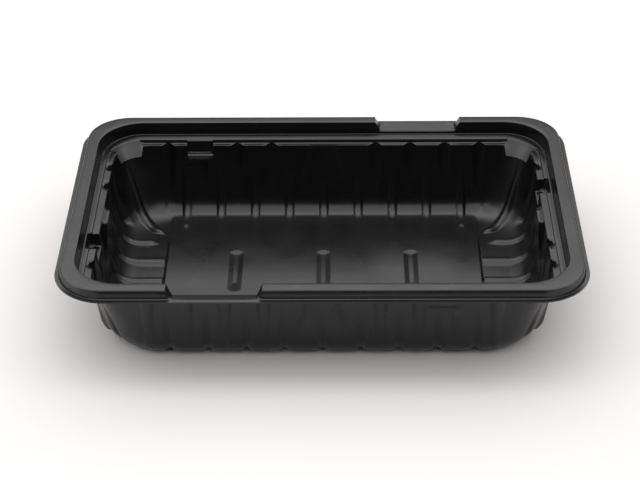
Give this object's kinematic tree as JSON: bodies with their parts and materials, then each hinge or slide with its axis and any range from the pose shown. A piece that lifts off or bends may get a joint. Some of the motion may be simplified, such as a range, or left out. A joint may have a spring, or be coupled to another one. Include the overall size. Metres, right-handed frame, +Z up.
{
  "type": "takeaway tray",
  "caption": "Rectangular black plastic takeaway tray: thin formed sheet with ribbed, fluted walls, a raised rim bead with notches and an inner seat for a lid.",
  "frame": {"origin": "centre of the footprint, on the plane the tray rests on", "axes": "+X along the length towards the end nearer the rim notch of the +Y long side, +Y towards the long side at the back of the picture, +Z up out of the open top"},
  "size_m": [0.22, 0.149, 0.0444],
  "materials": {
    "body": "satin, vacuum formed"
  },
  "bodies": {
    "root": {"tray": "body"}
  },
  "joints": []
}
